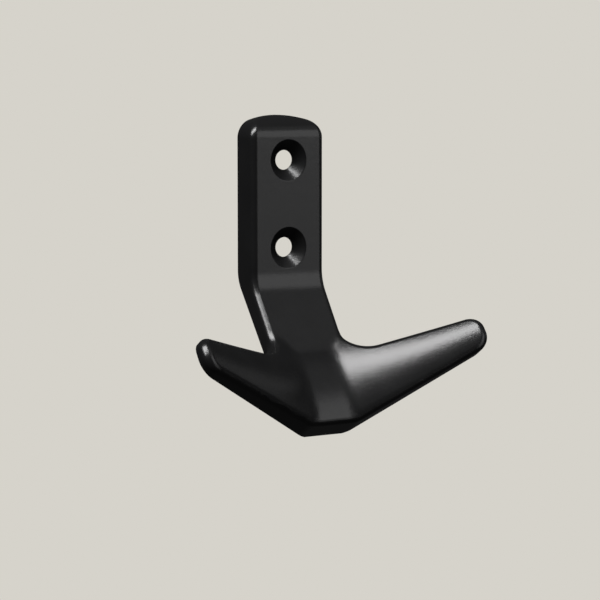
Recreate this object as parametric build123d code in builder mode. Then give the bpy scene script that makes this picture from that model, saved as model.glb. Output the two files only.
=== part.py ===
from build123d import *
from math import cos, degrees, radians, sin, sqrt, tan
import os

os.makedirs("parts", exist_ok=True)

# A double wall hook, cast in one piece. Millimetres. The wall is the plane Y = 0, the hook
# stands out of it towards -Y, and the origin lies on the wall, midway between the two screws.

# Back plate
plate_width = 21.4
plate_thickness = 7.1
plate_top = 22.2            # highest point of the arched top, above the origin
plate_arch_radius = 25.0
plate_corner_radius = 4.8
plate_top_ledge = 0.9       # height of the upright strip that is left at the wall, at the apex
plate_top_slope = 28.0      # degrees that the top face falls towards the front
plate_top_rounding = 4.4

# Screw holes, countersunk from the front, each with a round relief behind it
screw_pitch = 22.0
screw_hole_diameter = 5.0
screw_sink_diameter = 10.4
screw_sink_angle = 100.0
screw_rim_rounding = 0.4
relief_diameter = 14.0
relief_floor = 2.6          # wall left in front of a relief

# Neck, which leans forward under the plate and grows thinner on the way down
bend_height = -19.6         # height of the front bend
bend_radius = 10.0
neck_lean = 33.4            # degrees from the wall, front face
back_bend_height = -19.3
back_bend_radius = 8.0
back_lean = 36.4
neck_back_length = 23.5     # straight back of the neck, from the wall down to the bar

# Outline of the anchor, seen square to the neck's face: distances down the neck from its bend
arm_top = 21.7
bar_height = 20.15          # from there down to where the lower edges of the two arms would meet
arm_reach = 41.1
tip_rise = 0.53             # how much nearer to the bend an arm's top is at the tip
tip_share = 0.417           # height of the tip, as a share of the bar's
bottom_flat_half = 7.0
bottom_corner_radius = 6.0
inner_corner_radius = 6.2
tip_top_share = 0.41        # radius of the tip's upper corner, as a share of the tip's height
tip_bottom_share = 0.53

# Face of the bar: a flat strip down the middle, and an arm folded forward on each side of it
fold = 26.0                 # degrees
strip_half_width = 5.5      # where the faces of strip and arm would meet
valley_radius = 10.5
root_kick = 13.0            # degrees that the bar's face tips out of the neck's face at its top
root_turn = 23.0            # degrees that it curves back on the way down
tip_kick = 24.0
tip_turn = 38.0
bar_lift = 0.5              # the bar's face at the arms' top, in front of the neck's face

# Lower edge of the bar, which rolls away under it
roll_slope = 40.0           # degrees between the rolled face and the neck's face, at the very edge
root_roll_radius = 5.5
tip_roll_radius = 2.6

# Thickness of the bar, square to the neck's face
root_top_thickness = 5.0
root_bottom_thickness = 7.6
tip_thickness = 3.0

# Edge rounding
edge_radius = 1.8
junction_radius = 8.0

half_width = plate_width / 2
tip_height = tip_share * bar_height
lean = radians(neck_lean)
face_normal = Vector(0, -cos(lean), sin(lean))
neck_face = Plane(origin=(0, -plate_thickness, bend_height), x_dir=(1, 0, 0), z_dir=face_normal)
spare = 3.0                 # what a blank stands over its trimmed outline
overlap = 12.0              # what one blank runs into another
roll_run_on = 2.0           # degrees that the roll goes on past the trimmed edge
neck_run_in = 4.0           # how far the neck's face runs down inside the bar
corner_gap = 0.3            # between the neck's narrowing and the start of the inner corner
close = 0.01                # what still counts as lying on a line or a face
blank_half_width = half_width + spare
bar_run_up = 1.25 * half_width


def beside(down, out):
    """Y and Z of a point in the neck's own frame: down its lean, and out of its face."""
    return (
        -plate_thickness - down * sin(lean) - out * cos(lean),
        bend_height - down * cos(lean) + out * sin(lean),
    )


def between(start, end, share):
    """A value that goes evenly from start to end."""
    return start + (end - start) * share


def top_edge(across):
    """How far down the neck the arm's top edge lies at a distance from the middle."""
    return arm_top - tip_rise * across / arm_reach


def bottom_edge(across):
    """How far down the arm's lower edge lies, before its corners are rounded."""
    return between(arm_top + bar_height, arm_top - tip_rise + tip_height, across / arm_reach)


def arc_through(foot, radius, slope, turn_from, turn_to):
    """Three points of an arc that passes foot at a slope and curves back on its way down."""
    centre_down = foot[0] + radius * sin(radians(slope))
    centre_out = foot[1] - radius * cos(radians(slope))
    points = []
    for turn in (turn_from, (turn_from + turn_to) / 2, turn_to):
        angle = radians(slope - turn)
        points.append((centre_down - radius * sin(angle), centre_out + radius * cos(angle)))
    return points


def bar_section(x):
    """Closed section of the bar at x: crowned face, rolled lower edge, flat back, spare ends."""
    across = abs(x)
    top = top_edge(across)
    bottom = bottom_edge(across)
    fold_out = tan(radians(fold)) * (across - strip_half_width)
    to_tip = (across - strip_half_width) / (arm_reach - strip_half_width)
    kick = between(root_kick, tip_kick, to_tip)
    turn = between(root_turn, tip_turn, to_tip)
    roll = between(root_roll_radius, tip_roll_radius, to_tip)
    roll_length = roll * (sin(radians(roll_slope)) - sin(radians(turn - kick)))
    radius = (bottom - roll_length - top) / (sin(radians(kick)) + sin(radians(turn - kick)))
    lead = degrees(bar_run_up / radius)
    end_slope = roll_slope + roll_run_on
    crown = arc_through((top, fold_out + bar_lift), radius, kick, -lead, turn)
    edge = arc_through(crown[2], roll, kick - turn, 0, end_slope + kick - turn)
    back_top = fold_out - between(root_top_thickness, tip_thickness, to_tip)
    back_bottom = fold_out - between(root_bottom_thickness, tip_thickness, to_tip)
    foot = edge[2][0] + (edge[2][1] - back_bottom) / tan(radians(end_slope))
    with BuildSketch(Plane.YZ.offset(x)) as section:
        with BuildLine():
            ThreePointArc(*[beside(*point) for point in crown])
            ThreePointArc(*[beside(*point) for point in edge])
            Polyline(
                beside(*edge[2]),
                beside(foot, back_bottom),
                beside(top, back_top),
                beside(*crown[0]),
            )
        make_face()
    return section.sketch


def in_neck_frame(point):
    """Distance from the middle plane, down the neck's lean, and out of its face."""
    local = neck_face.to_local_coords(point)
    return abs(local.X), -local.Y, local.Z


def is_crease(edge):
    """True for the sharp folds in front, between the strip and the arms."""
    on_fold = all(abs(in_neck_frame(edge @ t)[0] - strip_half_width) < close for t in (0, 0.5, 1))
    curved = edge.geom_type != GeomType.LINE
    return on_fold and curved


def is_step(edge):
    """True for the edges where the bar's face rises out of the neck's face."""
    on_face = all(abs(in_neck_frame(edge @ t)[2]) < close for t in (0, 0.5, 1))
    across, down, out = in_neck_frame(edge @ 0.5)
    return on_face and across < blank_half_width - close and down > arm_top / 3


def is_sink_rim(edge):
    """True for the round rims of the countersinks in the plate's face."""
    return edge.geom_type == GeomType.CIRCLE and abs(edge.radius - screw_sink_diameter / 2) < close


slope_top = plate_top + plate_top_ledge
slope_foot = slope_top - plate_thickness * tan(radians(plate_top_slope))
neck_back_foot = (
    -neck_back_length * sin(radians(back_lean)),
    back_bend_height - neck_back_length * cos(radians(back_lean)),
)
corner_start = arm_top - inner_corner_radius - corner_gap
neck_end = arm_top + neck_run_in

# Folded bar, with the valley between its arms
with BuildPart() as bar:
    stations = [-arm_reach - spare, -strip_half_width, strip_half_width, arm_reach + spare]
    sections = [bar_section(x) for x in stations]
    for start, end in zip(sections, sections[1:]):
        loft(sections=[start, end], ruled=True)
    fillet(bar.edges().filter_by(is_crease), radius=valley_radius)

with BuildPart() as hook:
    # side profile of plate and neck
    with BuildSketch(Plane.YZ):
        with BuildLine():
            Polyline(
                (0, slope_top),
                (-plate_thickness, slope_foot),
                (-plate_thickness, bend_height),
                beside(neck_end, 0),
                neck_back_foot,
                (0, back_bend_height),
                close=True,
            )
        make_face()
        fillet(vertices().sort_by_distance((-plate_thickness, slope_foot))[0], radius=plate_top_rounding)
        fillet(vertices().sort_by_distance((-plate_thickness, bend_height))[0], radius=bend_radius)
        fillet(vertices().sort_by_distance((0, back_bend_height))[0], radius=back_bend_radius)
    extrude(amount=blank_half_width, both=True)

    # below the inner corners the neck keeps the plate's width
    with Locations(neck_face):
        with Locations((0, -(corner_start + overlap))):
            with GridLocations(2 * half_width + overlap, 0, 2, 1):
                Box(overlap, 2 * overlap, 3 * overlap, mode=Mode.SUBTRACT)

    # the bar, which rises out of the neck in a soft step
    add(bar.part)
    fillet(hook.edges().filter_by(is_step), radius=junction_radius)

    # outline of the anchor, cut square to the neck's face
    inner_corner = (half_width, -top_edge(half_width))
    tip_top = (arm_reach, -top_edge(arm_reach))
    tip_bottom = (arm_reach, -bottom_edge(arm_reach))
    bottom_corner = (bottom_flat_half, -bottom_edge(bottom_flat_half))
    with BuildSketch(neck_face):
        with BuildLine():
            Polyline(
                (half_width, overlap),
                inner_corner,
                tip_top,
                tip_bottom,
                bottom_corner,
                (0, bottom_corner[1]),
                (0, overlap),
                close=True,
            )
        make_face()
        fillet(vertices().sort_by_distance(inner_corner)[0], radius=inner_corner_radius)
        fillet(vertices().sort_by_distance(tip_top)[0], radius=tip_top_share * tip_height)
        fillet(vertices().sort_by_distance(tip_bottom)[0], radius=tip_bottom_share * tip_height)
        fillet(vertices().sort_by_distance(bottom_corner)[0], radius=bottom_corner_radius)
        mirror(about=Plane.YZ)
    anchor = extrude(amount=arm_reach, both=True, mode=Mode.PRIVATE)

    # outline of the plate, with its arched top
    shoulder = plate_top - plate_arch_radius + sqrt(plate_arch_radius**2 - half_width**2)
    with BuildSketch(Plane.XZ):
        with BuildLine():
            ThreePointArc((-half_width, shoulder), (0, plate_top), (half_width, shoulder))
            Polyline(
                (half_width, shoulder),
                (half_width, bend_height - spare),
                (-half_width, bend_height - spare),
                (-half_width, shoulder),
            )
        make_face()
        fillet(vertices().group_by(Axis.Y)[-1], radius=plate_corner_radius)
    plate = extrude(amount=arm_reach, both=True, mode=Mode.PRIVATE)
    add(anchor + plate, mode=Mode.INTERSECT)

    # soft front rim, all the way round but for the top of the plate, which is round already
    front_edges = hook.faces().filter_by(lambda face: face.normal_at().Y < -0.6).edges()
    rim = front_edges.filter_by(lambda edge: front_edges.count(edge) == 1)
    rim = rim.filter_by(lambda edge: (edge @ 0.5).Z < 0 or abs((edge @ 0.5).X) > half_width / 2)
    fillet(rim, radius=edge_radius)

    # screw holes, and the reliefs behind them
    with Locations(Plane.XZ.offset(plate_thickness)):
        with GridLocations(0, screw_pitch, 1, 2):
            CounterSinkHole(
                radius=screw_hole_diameter / 2,
                counter_sink_radius=screw_sink_diameter / 2,
                counter_sink_angle=screw_sink_angle,
            )
    fillet(hook.edges().filter_by(is_sink_rim), radius=screw_rim_rounding)
    with BuildSketch(Plane.XZ):
        with GridLocations(0, screw_pitch, 1, 2):
            Circle(relief_diameter / 2)
    extrude(amount=plate_thickness - relief_floor, mode=Mode.SUBTRACT)

hook.part.label = "hook"
export_step(hook.part, "parts/hook.step")
print(hook.part.volume, hook.part.bounding_box(), len(hook.part.solids()), len(hook.part.faces()))
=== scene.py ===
# %% [markdown]
# # A cast double wall hook in fine black satin
# The real object is one casting: a back plate with two countersunk screw holes, a neck that leans
# out of the wall, and an anchor-shaped bar with two arms that sweep up and forward. The solid is
# drawn in CAD and arrives here as a fixed frame. This lesson gives it the gloss of its coat, makes
# the curved faces of the arms fine enough to carry that gloss, and sets up light and camera.

# %% Load the frame
from math import atan, cos, degrees, pi, radians, sin, tan
import bmesh
import bpy
from mathutils import Matrix, Vector


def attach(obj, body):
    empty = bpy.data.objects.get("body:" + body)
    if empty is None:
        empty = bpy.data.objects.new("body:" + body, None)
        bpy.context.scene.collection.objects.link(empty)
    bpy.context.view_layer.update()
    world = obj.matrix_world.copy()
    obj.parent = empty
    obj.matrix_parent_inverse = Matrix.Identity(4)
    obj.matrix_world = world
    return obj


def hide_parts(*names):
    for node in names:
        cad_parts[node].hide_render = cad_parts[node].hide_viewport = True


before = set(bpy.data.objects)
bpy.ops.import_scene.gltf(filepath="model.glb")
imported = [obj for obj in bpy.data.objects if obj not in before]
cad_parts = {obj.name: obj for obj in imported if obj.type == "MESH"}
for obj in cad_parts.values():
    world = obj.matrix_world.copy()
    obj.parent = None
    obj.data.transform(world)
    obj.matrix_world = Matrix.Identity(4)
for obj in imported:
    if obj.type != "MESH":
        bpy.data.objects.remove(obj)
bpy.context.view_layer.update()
scene = bpy.context.scene

# %% [markdown]
# ## Shader maths as Python expressions
# A finish is easier to read as a formula than as a row of boxes. The class below wraps one socket,
# so that `0.3 + 0.1 * grain` adds the Math nodes by itself. Everything that isn't plain arithmetic
# comes from `Finish.node`, which sets a node's own settings first and its sockets after that.

# %% A socket that understands arithmetic
class Value:
    """One number that varies over the surface."""

    def __init__(self, finish, socket):
        self.finish = finish
        self.socket = socket

    def _math(self, operation, first, second):
        node = self.finish.node("ShaderNodeMath", {"operation": operation}, {0: first, 1: second})
        return Value(self.finish, node.outputs[0])

    def __add__(self, other):
        return self._math("ADD", self, other)

    def __radd__(self, other):
        return self._math("ADD", other, self)

    def __mul__(self, other):
        return self._math("MULTIPLY", self, other)

    def __rmul__(self, other):
        return self._math("MULTIPLY", other, self)


class Finish:
    """A material that is built one node at a time."""

    def __init__(self, name):
        self.material = bpy.data.materials.new(name)
        self.material.use_nodes = True
        self.tree = self.material.node_tree
        self.tree.nodes.clear()

    def node(self, kind, settings=None, sockets=None):
        """A new node, with its settings and with values or links in its sockets."""
        made = self.tree.nodes.new(kind)
        for name, value in (settings or {}).items():
            setattr(made, name, value)
        for name, value in (sockets or {}).items():
            self.feed(made.inputs[name], value)
        return made

    def feed(self, socket, value):
        """Link the socket to what varies, or set it to a plain value."""
        if isinstance(value, Value):
            value = value.socket
        if isinstance(value, bpy.types.NodeSocket):
            self.tree.links.new(value, socket)
        else:
            socket.default_value = value

    def noise(self, size, detail):
        """Soft noise whose grains are about `size` metres across."""
        where = self.node("ShaderNodeTexCoord").outputs["Object"]
        made = self.node("ShaderNodeTexNoise", None, {"Vector": where, "Scale": 1 / size, "Detail": detail})
        return Value(self, made.outputs[0])


# %% [markdown]
# ## Fine black satin
# The casting wears a thin black coat that is fired on as a powder. It is nearly black, so almost
# all that the eye reads is gloss: broad soft highlights with a fine sandy grain in them. Two things
# make that grain. The powder leaves tiny bumps about a third of a millimetre apart, and under them
# the coat flows a little, which is the wider swell known as orange peel. Both go into one bump.
# The gloss itself also varies a little, because the coat is thicker in some places than in others.
# The sockets of a Mix node share their names, so its factor and its two colours go by number.

# %% The coat
GRAIN = 0.00030
PEEL = 0.0016
CLOUD = 0.009
GRAIN_SHARE = 0.7
PEEL_SHARE = 0.5
BUMP_STRENGTH = 0.35
BUMP_DEPTH = 0.00009
DARKER = (0.0050, 0.0050, 0.0052, 1.0)
LIGHTER = (0.0090, 0.0090, 0.0092, 1.0)
LEAST_ROUGH = 0.22
ROUGH_SPREAD = 0.03
REFRACTION = 1.5


def black_satin():
    """The material of the whole casting."""
    coat = Finish("fine_black_satin")
    grain = coat.noise(GRAIN, detail=2.0)
    peel = coat.noise(PEEL, detail=1.0)
    cloud = coat.noise(CLOUD, detail=2.0)
    height = grain * GRAIN_SHARE + peel * PEEL_SHARE
    bump = coat.node(
        "ShaderNodeBump",
        None,
        {"Strength": BUMP_STRENGTH, "Distance": BUMP_DEPTH, "Height": height},
    )
    tone = coat.node("ShaderNodeMix", {"data_type": "RGBA"}, {0: cloud, 6: DARKER, 7: LIGHTER})
    roughness = LEAST_ROUGH + ROUGH_SPREAD * cloud + ROUGH_SPREAD * grain
    surface = coat.node(
        "ShaderNodeBsdfPrincipled",
        None,
        {
            "Base Color": tone.outputs[2],
            "Roughness": roughness,
            "Normal": bump.outputs[0],
            "IOR": REFRACTION,
        },
    )
    coat.node("ShaderNodeOutputMaterial", None, {"Surface": surface.outputs[0]})
    return coat.material


satin = black_satin()
print("finish", satin.name)

# %% [markdown]
# ## The crown of the arms
# The face of each arm is crowned: across its height it turns from looking up to looking down. The
# frame carries it as a few long flat facets, and a glossy black coat shows every one of them. So
# the piece below starts from the frame's own mesh. Only the facets of the crown are divided, and
# each new point is lifted to the true surface, which follows from the sizes of the casting. That
# surface is ruled: straight lines run from the section at the strip to one past the arm's tip.
#
# The sizes are in millimetres, in the plane of the leaning neck. Where there are two of a kind, the
# first holds at the strip and the second at the arm's tip. `KICK` and `TURN` are in degrees: the
# slope that the crown starts with, and how far it turns from its top to where the roll begins.

# %% The arm's section
MM = 0.001
LEAN = radians(33.4)
BEND_FACE = Vector((0.0, -7.1, -19.6)) * MM
OUT_OF_FACE = Vector((0.0, -cos(LEAN), sin(LEAN)))
DOWN_FACE = Vector((0.0, -sin(LEAN), -cos(LEAN)))

ARM_TOP = 21.7
BAR_HEIGHT = 20.15
ARM_REACH = 41.1
TIP_RISE = 0.53
TIP_HEIGHT = 0.417 * BAR_HEIGHT
STRIP_HALF_WIDTH = 5.5
FOLD = radians(26)
BAR_LIFT = 0.5
RUN_UP = 13.375
KICK = (13.0, 24.0)
TURN = (23.0, 38.0)
ROLL_RADIUS = (5.5, 2.6)
ROLL_SLOPE = radians(40)
BEYOND_TIP = 3.0


def between(ends, share):
    """A value that goes evenly from the first end to the second."""
    return ends[0] + (ends[1] - ends[0]) * share


class CrownArc:
    """The crown of the arm's section at one distance from the middle."""

    def __init__(self, across):
        top = ARM_TOP - TIP_RISE * across / ARM_REACH
        bottom = between((ARM_TOP + BAR_HEIGHT, ARM_TOP - TIP_RISE + TIP_HEIGHT), across / ARM_REACH)
        share = (across - STRIP_HALF_WIDTH) / (ARM_REACH - STRIP_HALF_WIDTH)
        self.kick = radians(between(KICK, share))
        self.turn = radians(between(TURN, share))
        roll = between(ROLL_RADIUS, share) * (sin(ROLL_SLOPE) - sin(self.turn - self.kick))
        self.radius = (bottom - roll - top) / (sin(self.kick) + sin(self.turn - self.kick))
        self.lead = RUN_UP / self.radius
        self.centre_down = top + self.radius * sin(self.kick)
        face = tan(FOLD) * (across - STRIP_HALF_WIDTH) + BAR_LIFT
        self.centre_out = face - self.radius * cos(self.kick)

    def point(self, share):
        """Down and out of the arc's point at a share of its length."""
        angle = self.kick - between((-self.lead, self.turn), share)
        return self.centre_down - self.radius * sin(angle), self.centre_out + self.radius * cos(angle)


AT_STRIP = CrownArc(STRIP_HALF_WIDTH)
PAST_TIP = CrownArc(ARM_REACH + BEYOND_TIP)
print("crown radius", round(AT_STRIP.radius, 1), "at the strip,", round(PAST_TIP.radius, 1), "past the tip")

# %% [markdown]
# To find the height of the face at a place, the straight line that passes over it is needed. Its
# share of the arc is found by halving: the further along the arc, the further down the face. A
# place that no line comes close to isn't on the crown.

# %% Height of the crowned face
HALVINGS = 24
CLOSE = 0.03


def crown_height(across, down):
    """How far the arm's face stands out of the neck's plane, or None off the crown."""
    outward = (across - STRIP_HALF_WIDTH) / (ARM_REACH + BEYOND_TIP - STRIP_HALF_WIDTH)

    def line(share):
        return [between(pair, outward) for pair in zip(AT_STRIP.point(share), PAST_TIP.point(share))]

    low, high = 0.0, 1.0
    for _ in range(HALVINGS):
        middle = (low + high) / 2
        if line(middle)[0] < down:
            low = middle
        else:
            high = middle
    place = line(low)
    return place[1] if abs(place[0] - down) < CLOSE else None


def face_place(point):
    """Across, down and out of the neck's plane, in millimetres."""
    local = (point - BEND_FACE) / MM
    return abs(local.x), local.dot(DOWN_FACE), local.dot(OUT_OF_FACE)


MIDDLE_OF_ARM = (22.0, 28.0)
print("height in the middle of an arm", round(crown_height(*MIDDLE_OF_ARM), 2))

# %% [markdown]
# ## Divide and lift
# A facet is taken for part of the crown when all its corners lie within a few hundredths of a
# millimetre of that surface. Its long edges are halved in several rounds, and the triangles beside
# them are cut to match. Afterwards each edge with a sharp enough turn is marked as a hard one.

# %% The casting
LONGEST_EDGE = 1.6 * MM
VALLEY_EDGE = 7.0
ROUNDS = 6
HARD_EDGE = radians(35)
NOTHING = 0.002 * MM


def on_crown(point, close=CLOSE):
    """Whether the point lies on the arm's crowned face, outside the valley's fillet."""
    across, down, out = face_place(point)
    if across < VALLEY_EDGE:
        return False
    height = crown_height(across, down)
    return height is not None and abs(height - out) < close


def lift(vertex):
    """Move a new point straight out of the neck's plane, onto the crown."""
    across, down, out = face_place(vertex.co)
    height = crown_height(across, down)
    if height is not None:
        vertex.co += OUT_OF_FACE * (height - out) * MM


def long_crown_edges(skin):
    """The edges of the crown's facets that are still too long, in the mesh's own order."""
    facets = {f for f in skin.faces if all(on_crown(v.co) for v in f.verts)}
    print("crown facets", len(facets), "points", len(skin.verts))
    return [
        e for e in skin.edges if e.calc_length() > LONGEST_EDGE and not facets.isdisjoint(e.link_faces)
    ]


def fine_skin(node_name):
    """The node's mesh with its crown divided and lifted."""
    skin = bmesh.new()
    skin.from_mesh(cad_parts[node_name].data)
    bmesh.ops.remove_doubles(skin, verts=skin.verts, dist=NOTHING)
    bmesh.ops.triangulate(skin, faces=skin.faces)
    for _ in range(ROUNDS):
        edges = long_crown_edges(skin)
        if not edges:
            break
        cut = bmesh.ops.subdivide_edges(skin, edges=edges, cuts=1)
        for made in cut["geom_inner"]:
            if isinstance(made, bmesh.types.BMVert):
                lift(made)
        bmesh.ops.dissolve_degenerate(skin, dist=NOTHING, edges=skin.edges)
        bmesh.ops.triangulate(skin, faces=[f for f in skin.faces if len(f.verts) > 3])
    for edge in skin.edges:
        edge.smooth = edge.calc_face_angle(0.0) < HARD_EDGE
    mesh = bpy.data.meshes.new("hook_casting")
    skin.to_mesh(mesh)
    skin.free()
    return mesh


# %% [markdown]
# ## Even shading
# Gloss follows the normals of the corners. On flats and fillets, the Weighted Normal modifier finds
# them: a large face counts more than a narrow one, so the plate stays flat up to its rim. On the
# crown the exact normal is known, because the surface is a formula, and it is set at each corner.
# It comes from the height a small step to the side and a small step up, both in millimetres.

# %% Normals
STEP = 0.01
ON_SURFACE = 0.01


def crown_normal(point):
    """The true normal of the arm's face at a point on it, or None at the crown's end."""
    across, down, out = face_place(point)
    outward = Vector((1.0 if point.x > 0 else -1.0, 0.0, 0.0))
    aside = crown_height(across - STEP, down)
    above = crown_height(across, down - STEP)
    if aside is None or above is None:
        return None
    slope_out = (out - aside) / STEP
    slope_down = (out - above) / STEP
    return (OUT_OF_FACE - outward * slope_out - DOWN_FACE * slope_down).normalized()


def evenly_shaded(rough_piece):
    """A copy of the piece's mesh with its final normals."""
    even = rough_piece.modifiers.new("even_shading", "WEIGHTED_NORMAL")
    even.keep_sharp = True
    graph = bpy.context.evaluated_depsgraph_get()
    mesh = bpy.data.meshes.new_from_object(rough_piece.evaluated_get(graph))
    exact = {}
    for vertex in mesh.vertices:
        if on_crown(vertex.co, ON_SURFACE):
            exact[vertex.index] = crown_normal(vertex.co)
    normals = [Vector(corner.vector) for corner in mesh.corner_normals]
    for loop in mesh.loops:
        true_normal = exact.get(loop.vertex_index)
        if true_normal is not None:
            normals[loop.index] = true_normal
    mesh.normals_split_custom_set(normals)
    print("exact normals on", len(exact), "points")
    return mesh


def fine_casting(node_name, material):
    """The node's piece with its crown back and its gloss even."""
    mesh = fine_skin(node_name)
    mesh.materials.append(material)
    for polygon in mesh.polygons:
        polygon.use_smooth = True
    casting = bpy.data.objects.new("hook_casting", mesh)
    scene.collection.objects.link(casting)
    casting.data = evenly_shaded(casting)
    casting.modifiers.clear()
    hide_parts(node_name)
    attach(casting, "root")
    return casting


casting = fine_casting("hook", satin)
print("casting", len(casting.data.polygons), "faces")

# %% [markdown]
# ## The stage
# The photograph has a plain pale ground with no line and no shadow, as if the hook hung in front of
# a long paper sweep. Here the paper goes all the way round, so that every side of the hook has the
# same ground: a round floor far below bends up into a round wall. Floor and wall give off the same
# even light. The paper is hidden from reflections, because a black coat in a white room turns grey.

# %% Paper sweep
PAPER = (0.672, 0.651, 0.597)
FLOOR_DROP = 0.9
CENTRE_RADIUS = 0.05
FLOOR_RADIUS = 2.5
BEND_RADIUS = 1.5
WALL_HEIGHT = 6.0
BEND_STEPS = 12
SIDES = 64


def sweep_profile():
    """Floor, bend and wall as pairs of a radius and a height."""
    points = [(CENTRE_RADIUS, -FLOOR_DROP)]
    for step in range(BEND_STEPS + 1):
        angle = radians(90) * step / BEND_STEPS
        points.append((FLOOR_RADIUS + BEND_RADIUS * sin(angle), BEND_RADIUS * (1 - cos(angle)) - FLOOR_DROP))
    points.append((FLOOR_RADIUS + BEND_RADIUS, WALL_HEIGHT))
    return points


def paper():
    """A material that glows evenly in the colour of the paper."""
    glow = Finish("pale_paper")
    light = glow.node("ShaderNodeEmission", None, {"Color": (*PAPER, 1.0), "Strength": 1.0})
    glow.node("ShaderNodeOutputMaterial", None, {"Surface": light.outputs[0]})
    return glow.material


def paper_sweep():
    """The profile turned all the way round, with a flat disc in its middle."""
    points = []
    for radius, height in sweep_profile():
        for side in range(SIDES):
            angle = radians(360) * side / SIDES
            points.append((radius * cos(angle), radius * sin(angle), height))
    faces = [tuple(range(SIDES))]
    for first in range(0, len(points) - SIDES, SIDES):
        for side in range(SIDES):
            near = first + side
            far = first + (side + 1) % SIDES
            faces.append((near, far, far + SIDES, near + SIDES))
    mesh = bpy.data.meshes.new("paper_sweep")
    mesh.from_pydata(points, [], faces)
    mesh.materials.append(paper())
    sweep = bpy.data.objects.new("paper_sweep", mesh)
    scene.collection.objects.link(sweep)
    for ray in ("diffuse", "glossy", "transmission", "shadow"):
        setattr(sweep, "visible_" + ray, False)
    return sweep


print("sweep", len(paper_sweep().data.polygons), "faces")

# %% [markdown]
# ## Light
# One big softbox does most of the work. It hangs overhead and to the left, and its lower edge is
# what ends the bright plateau on the right arm: below it the crown looks past the light into the
# dark room. The same panel draws the streak down the neck's left edge. A stack of weak panels in
# front and to the right gives plate, bend and neck their three different greys.

# %% Softboxes
AIM = Vector((0.0, -0.015, -0.015))
LEVEL = (1.0, 0.0, 0.0)
TOWARDS_WALL = (0.0, 1.0, 0.0)
ROOM_GLOW = 0.03


def softbox(name, direction, along, width, height, radiance):
    """A flat light of a given radiance, one metre away, its width laid along a direction."""
    data = bpy.data.lights.new(name, "AREA")
    data.shape = "RECTANGLE"
    data.size = width
    data.size_y = height
    data.energy = radiance * width * height * pi
    lamp = bpy.data.objects.new(name, data)
    towards = Vector(direction).normalized()
    side = (Vector(along) - towards * towards.dot(Vector(along))).normalized()
    turn = Matrix((side, towards.cross(side), towards)).transposed()
    lamp.matrix_world = Matrix.Translation(AIM + towards) @ turn.to_4x4()
    scene.collection.objects.link(lamp)
    print("light", name, tuple(round(c, 2) for c in lamp.matrix_world.translation))


softbox(
    "overhead_left",
    (-0.48, -0.26, 0.84),
    along=(-0.82, 0.33, -0.42),
    width=1.16,
    height=0.38,
    radiance=15.0,
)
softbox("front_low", (0.52, -0.85, -0.09), along=LEVEL, width=0.5, height=0.5, radiance=0.62)
softbox("front_middle", (0.49, -0.78, 0.38), along=LEVEL, width=0.5, height=0.62, radiance=1.3)
softbox("front_high", (0.51, -0.45, 0.73), along=LEVEL, width=0.5, height=0.5, radiance=0.18)
softbox("right", (0.97, 0.02, 0.17), along=TOWARDS_WALL, width=0.4, height=0.3, radiance=0.27)

room = bpy.data.worlds.new("dim_room")
room.use_nodes = True
background = room.node_tree.nodes["Background"]
background.inputs["Color"].default_value = (1.0, 1.0, 1.0, 1.0)
background.inputs["Strength"].default_value = ROOM_GLOW
scene.world = room
scene.view_settings.view_transform = "Standard"

# %% [markdown]
# ## Camera
# The two rims of the screw holes and the hook's outline were enough to find the camera: it stands
# about 32 degrees to the left of the hook and looks down by 6 degrees, through a long lens from
# about 60 cm.

# %% Camera
AZIMUTH = radians(-31.87)
ELEVATION = radians(6.18)
FOCAL_PIXELS = 2377.0
FRAME_PIXELS = 600.0
SENSOR = 36.0
DISTANCE = 0.6038
TARGET = Vector((0.00447, -0.00532, -0.02468))
NEAR_CLIP = 0.05
FAR_CLIP = 50.0

back = Vector((
    sin(AZIMUTH) * cos(ELEVATION),
    -cos(AZIMUTH) * cos(ELEVATION),
    sin(ELEVATION),
))
right = Vector((cos(AZIMUTH), sin(AZIMUTH), 0.0))
up = back.cross(right)

lens = bpy.data.cameras.new("camera")
lens.sensor_width = SENSOR
lens.lens = SENSOR * FOCAL_PIXELS / FRAME_PIXELS
lens.clip_start = NEAR_CLIP
lens.clip_end = FAR_CLIP
camera = bpy.data.objects.new("camera", lens)
turn = Matrix((right, up, back)).transposed()
camera.matrix_world = Matrix.Translation(TARGET + back * DISTANCE) @ turn.to_4x4()
scene.collection.objects.link(camera)
scene.camera = camera
print("field of view", round(degrees(2 * atan(SENSOR / 2 / lens.lens)), 1), "degrees")
